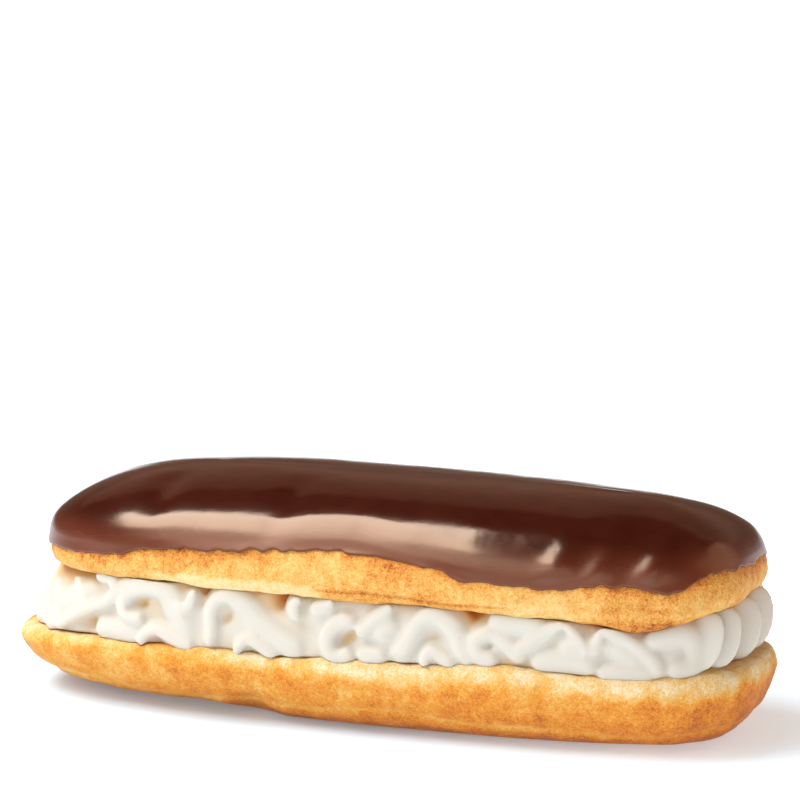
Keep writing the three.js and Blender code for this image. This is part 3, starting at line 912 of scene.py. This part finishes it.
def tones(tree, value, stops):
    """A colour ramp from (place, colour) stops."""
    node = add(tree, "ShaderNodeValToRGB", {"Fac": value})
    elements = node.color_ramp.elements
    while len(elements) < len(stops):
        elements.new(0.5)
    for element, (place, colour) in zip(elements, stops):
        element.position = place
        element.color = colour
    return node.outputs["Color"]


def bumps(tree, height, strength, distance_mm, under=None):
    """A bump node, on top of another where there is one."""
    values = {"Height": height, "Strength": strength, "Distance": distance_mm * MM}
    if under is not None:
        values["Normal"] = under
    return add(tree, "ShaderNodeBump", values).outputs["Normal"]


def choux_finish(name, stops):
    """Baked choux: a tone from the mark of browning and painted shade, and three grains, duller where it is
    paler, and a fine crumb as two bumps."""
    material, tree, shader = new_finish(
        name, specular_ior_level=0.25, subsurface_weight=0.12, subsurface_scale=0.002
    )
    shader.inputs["Subsurface Radius"].default_value = (1.0, 0.5, 0.2)
    bake_and_shade = add(tree, "ShaderNodeAttribute", attribute_name="bake_and_shade").outputs["Fac"]
    tone = plus(tree, bake_and_shade, grain(tree, 3.0, 3.0), 0.55)
    tone = plus(tree, tone, grain(tree, 0.9, 2.0, 0.6), 0.5)
    tone = plus(tree, tone, grain(tree, 0.35, 1.0), 0.65)
    tree.links.new(tones(tree, tone, stops), shader.inputs["Base Color"])
    rough = add(tree, "ShaderNodeMapRange", {"Value": tone, "To Min": 0.8, "To Max": 0.55}).outputs["Result"]
    tree.links.new(rough, shader.inputs["Roughness"])
    normal = bumps(tree, grain(tree, 1.6, 3.0), 0.6, 0.5)
    normal = bumps(tree, grain(tree, 0.45, 2.0), 0.6, 0.3, normal)
    tree.links.new(normal, shader.inputs["Normal"])
    return material


def chocolate_finish():
    """Set chocolate: dark brown and glossy, duller towards its thinner edge and lighter brown there, partly
    the thinner coat's own colour and partly painted sheen that stands in for the highlight fading down the
    front, with a gloss that varies a little and a faint grain."""
    material, tree, shader = new_finish("chocolate", specular_ior_level=0.8)
    shader.inputs["Specular Tint"].default_value = (1.0, 0.72, 0.5, 1)
    thin_and_sheen = add(tree, "ShaderNodeAttribute", attribute_name="thin_and_sheen").outputs["Fac"]
    tone = plus(tree, thin_and_sheen, grain(tree, 5.0, 3.0), 0.3)
    tree.links.new(tones(tree, tone, CHOCOLATE_AND_SHEEN_TONES), shader.inputs["Base Color"])
    rough = add(tree, "ShaderNodeMapRange", {"Value": grain(tree, 9.0, 2.0), "To Min": 0.19, "To Max": 0.29})
    tree.links.new(plus(tree, rough.outputs["Result"], thin_and_sheen, 0.25), shader.inputs["Roughness"])
    normal = bumps(tree, grain(tree, 3.5, 2.0), 0.12, 0.3)
    normal = bumps(tree, grain(tree, 0.45, 1.0), 0.08, 0.05, normal)
    tree.links.new(normal, shader.inputs["Normal"])
    return material


def cream_finish():
    """Whipped cream: off-white that lets light in, darker and warmer in its hollows by painted shade and
    warm bounced light, with a soft sheen and a very fine grain."""
    material, tree, shader = new_finish(
        "cream", roughness=0.5, specular_ior_level=0.3, subsurface_weight=0.35, subsurface_scale=0.003
    )
    shader.inputs["Subsurface Radius"].default_value = (1.0, 0.75, 0.5)
    hollow_shade = add(tree, "ShaderNodeAttribute", attribute_name="hollow_shade").outputs["Fac"]
    tree.links.new(tones(tree, hollow_shade, CREAM_AND_SHADE_TONES), shader.inputs["Base Color"])
    tree.links.new(bumps(tree, grain(tree, 0.8, 2.0), 0.06, 0.1), shader.inputs["Normal"])
    return material


LIT = 0.86  # the choux's tones are as they look in the light, which is a little more than full
BASE_TONES = [
    (0.05, srgb(248, 228, 188, LIT)),
    (0.3, srgb(244, 200, 122, LIT)),
    (0.55, srgb(243, 168, 64, LIT)),
    (0.75, srgb(233, 138, 40, LIT)),
    (1.0, srgb(190, 100, 34, LIT)),
]
LID_TONES = [
    (0.05, srgb(250, 224, 172, LIT)),
    (0.35, srgb(246, 202, 124, LIT)),
    (0.6, srgb(238, 170, 78, LIT)),
    (0.8, srgb(216, 128, 46, LIT)),
    (1.0, srgb(140, 70, 26, LIT)),
]
# the cream's own off-white, then darker and warmer in the hollows: painted shade and warm bounced light off
# the choux
CREAM_AND_SHADE_TONES = [(0.0, srgb(211, 204, 191)), (0.5, srgb(210, 178, 132)), (1.0, srgb(200, 122, 58))]
# dark brown at the crown, lighter brown at the edge: partly the thinner coat's colour, partly painted sheen
CHOCOLATE_AND_SHEEN_TONES = [(0.0, srgb(46, 8, 3)), (1.0, srgb(102, 46, 30))]

make_base(choux_finish("base_choux", BASE_TONES))
make_cream(cream_finish())
make_lid(choux_finish("lid_choux", LID_TONES))
make_icing(chocolate_finish())


# Stage, light and camera

def aim(thing, place, target):
    """Puts a camera or a lamp at a place and points it at a target."""
    thing.location = place
    thing.rotation_euler = (Vector(target) - Vector(place)).to_track_quat("-Z", "Y").to_euler()


def softbox(name, place, target, size, power, colour=(1, 1, 1)):
    """A rectangular area lamp, in metres and watts."""
    lamp = bpy.data.lights.new(name, "AREA")
    lamp.shape = "RECTANGLE"
    lamp.size, lamp.size_y = size
    lamp.energy = power
    lamp.color = colour
    box = bpy.data.objects.new(name, lamp)
    bpy.context.scene.collection.objects.link(box)
    aim(box, place, target)
    return box


def make_floor():
    """A pale floor, a little bright by itself, and brighter further off: its glow is weaker close round the
    bun, a painted contact shadow.
    """
    half = 6.0
    corners = [(-half, -half, 0), (half, -half, 0), (half, half, 0), (-half, half, 0)]
    mesh = bpy.data.meshes.new("floor")
    mesh.from_pydata(corners, [], [(0, 1, 2, 3)])
    floor = bpy.data.objects.new("floor", mesh)
    bpy.context.scene.collection.objects.link(floor)
    material, tree, shader = new_finish("pale_floor", roughness=0.9, specular_ior_level=0.0)
    # blue tint that cancels the warm light bounced off the choux, so the shadows read grey
    shader.inputs["Base Color"].default_value = (0.62, 0.79, 0.96, 1)
    shader.inputs["Emission Color"].default_value = (1, 1, 1, 1)
    coords = add(tree, "ShaderNodeTexCoord").outputs["Object"]
    stretch = {"Vector": coords, "Location": (0.01, 0, 0), "Scale": (0.5, 1, 1)}
    near = add(tree, "ShaderNodeMapping", stretch).outputs["Vector"]
    far = add(tree, "ShaderNodeVectorMath", {0: near}, operation="LENGTH").outputs["Value"]
    # the glow is weakest near the bun's footprint: a painted contact shadow
    glow = {"Value": far, "From Min": 0.02, "From Max": 0.1, "To Min": 0.18, "To Max": 1.0}
    strength = add(tree, "ShaderNodeMapRange", glow).outputs["Result"]
    tree.links.new(strength, shader.inputs["Emission Strength"])
    mesh.materials.append(material)


def make_light():
    """A key lamp high at the left, a weak lower one at the front left, a wide fill in front, a warm
    lamp at the right, a warmer one over the floor far behind, and a warm room that is lighter near the
    horizon."""
    world = bpy.context.scene.world or bpy.data.worlds.new("studio")
    bpy.context.scene.world = world
    world.use_nodes = True
    tree = world.node_tree
    way = add(tree, "ShaderNodeTexCoord").outputs["Generated"]
    height = add(tree, "ShaderNodeSeparateXYZ", {"Vector": way}).outputs["Z"]
    fade = {"Value": height, "From Min": 0.2, "From Max": 0.7, "To Min": 0.26, "To Max": 0.05}
    glow = add(tree, "ShaderNodeMapRange", fade, interpolation_type="SMOOTHSTEP").outputs["Result"]
    background = tree.nodes["Background"]
    background.inputs["Color"].default_value = (1, 0.66, 0.48, 1)
    tree.links.new(glow, background.inputs["Strength"])
    middle = (0, 0, 0.025)
    softbox("key", (-0.385, -0.2, 0.67), (-0.385, 0, 0), (0.42, 0.62), 8.5)
    softbox("low_key", (-0.3, -0.66, 0.48), (-0.2, 0, 0), (0.4, 0.3), 1.2)
    softbox("fill", (0.2, -1.0, 0.32), middle, (1.2, 0.5), 2.2)
    softbox("side", (0.9, 0.35, 0.5), middle, (1.1, 1.0), 3.2, (1.0, 0.75, 0.55))
    softbox("back", (-0.2, 1.6, 1.0), (-0.2, 1.5, 0), (2.6, 1.6), 3, (1.0, 0.6, 0.4))


CAMERA_AZIMUTH = math.radians(21)
CAMERA_ELEVATION = math.radians(15.5)
CAMERA_DISTANCE = 0.85
FRAME_PIXELS = 800
ORIGIN_PIXEL = (393, 703)  # where the middle of the footprint lies in the picture
PIXELS_PER_MM = 5.13
SENSOR = 36


def make_camera():
    """A camera whose picture has the footprint's middle at ORIGIN_PIXEL, at PIXELS_PER_MM."""
    a, e = CAMERA_AZIMUTH, CAMERA_ELEVATION
    back = Vector((math.sin(a) * math.cos(e), -math.cos(a) * math.cos(e), math.sin(e)))
    right = Vector((math.cos(a), math.sin(a), 0))
    up = back.cross(right)
    pixel = MM / PIXELS_PER_MM
    across = (FRAME_PIXELS / 2 - ORIGIN_PIXEL[0]) * pixel
    above = (ORIGIN_PIXEL[1] - FRAME_PIXELS / 2) * pixel
    data = bpy.data.cameras.new("camera")
    data.sensor_width = SENSOR
    data.lens = SENSOR * CAMERA_DISTANCE / (FRAME_PIXELS * pixel)
    camera = bpy.data.objects.new("camera", data)
    bpy.context.scene.collection.objects.link(camera)
    aim(camera, back * CAMERA_DISTANCE, right * across + up * above)
    bpy.context.scene.camera = camera


make_floor()
make_light()
make_camera()
bpy.context.scene.view_settings.view_transform = "Standard"
